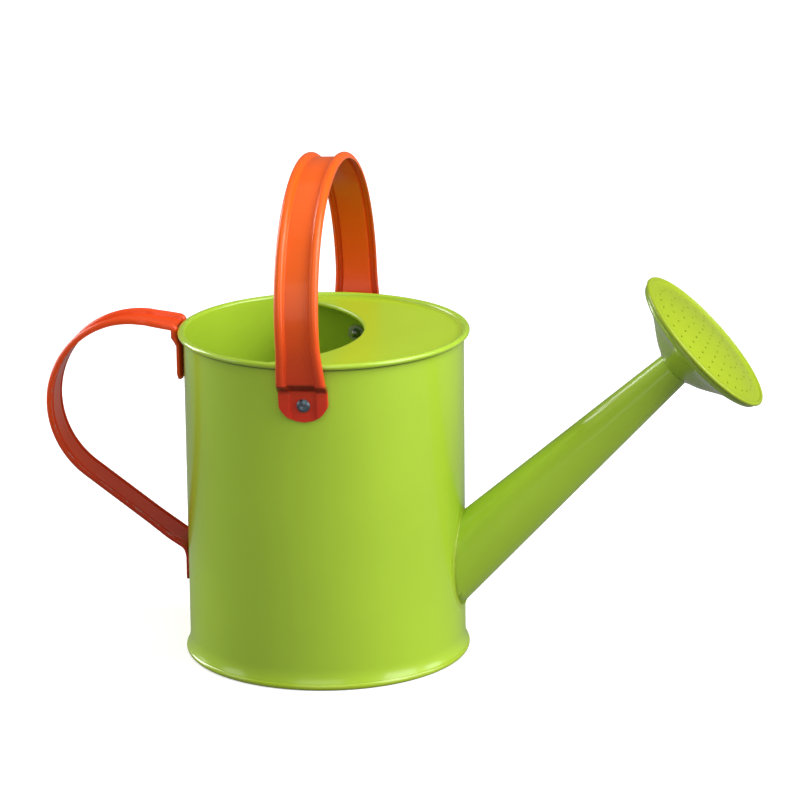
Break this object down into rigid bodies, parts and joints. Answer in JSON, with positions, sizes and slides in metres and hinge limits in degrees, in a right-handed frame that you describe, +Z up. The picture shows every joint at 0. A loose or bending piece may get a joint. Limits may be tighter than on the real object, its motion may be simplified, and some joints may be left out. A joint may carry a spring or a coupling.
{
  "type": "watering can",
  "caption": "Small painted sheet-metal watering can with a swinging top handle, a fixed rear handle, a long angled spout and a wide push-on rose.",
  "frame": {"origin": "centre of the can's round base, on the surface that it stands on", "axes": "+X towards the spout, +Y across the can along the top handle's pivot axis, +Z up"},
  "size_m": [0.335, 0.151, 0.2363],
  "materials": {
    "green_body": "glossy lime-green enamel on sheet steel",
    "green_base": "glossy lime-green enamel on sheet steel",
    "green_cover": "glossy lime-green enamel on sheet steel",
    "green_spout": "glossy lime-green enamel on sheet steel",
    "green_weld": "lime-green enamel over a soldered fillet",
    "green_rose_bell": "glossy lime-green enamel on sheet steel",
    "green_rose_face": "glossy yellow-green enamel on sheet steel",
    "orange_top_handle": "glossy orange enamel on pressed steel strap",
    "orange_rear_handle": "glossy orange enamel on pressed steel strap",
    "zinc_rivet": "dull zinc-plated steel",
    "zinc_washer": "dull zinc-plated steel",
    "steel_mandrel": "snapped steel mandrel",
    "steel_wire": "bare steel wire"
  },
  "bodies": {
    "can": {"body_shell": "green_body", "rim_wire": "steel_wire", "base_plate": "green_base", "top_cover": "green_cover", "spout_tube": "green_spout", "spout_weld": "green_weld", "rear_handle": "orange_rear_handle", "pivot_rivet_near": "zinc_rivet", "pivot_rivet_far": "zinc_rivet", "pivot_washer_near": "zinc_washer", "pivot_washer_far": "zinc_washer", "pivot_mandrel_near": "steel_mandrel", "pivot_mandrel_far": "steel_mandrel", "rear_rivet_upper": "zinc_rivet", "rear_rivet_lower": "zinc_rivet", "rear_washer_upper": "zinc_washer", "rear_washer_lower": "zinc_washer", "rear_mandrel_upper": "steel_mandrel", "rear_mandrel_lower": "steel_mandrel"},
    "swing_handle": {"top_handle": "orange_top_handle"},
    "rose": {"rose_bell": "green_rose_bell", "rose_face": "green_rose_face"}
  },
  "joints": [
    {"name": "handle_swing", "type": "hinge", "parent": "can", "child": "swing_handle", "pos_m": [0.0032, 0, 0.1357], "axis": [0, 1, 0], "range_deg": [-65, 100]},
    {"name": "rose_pull", "type": "slide", "parent": "can", "child": "rose", "axis": [0.7242, 0, 0.6896], "range_m": [0, 0.03]}
  ]
}
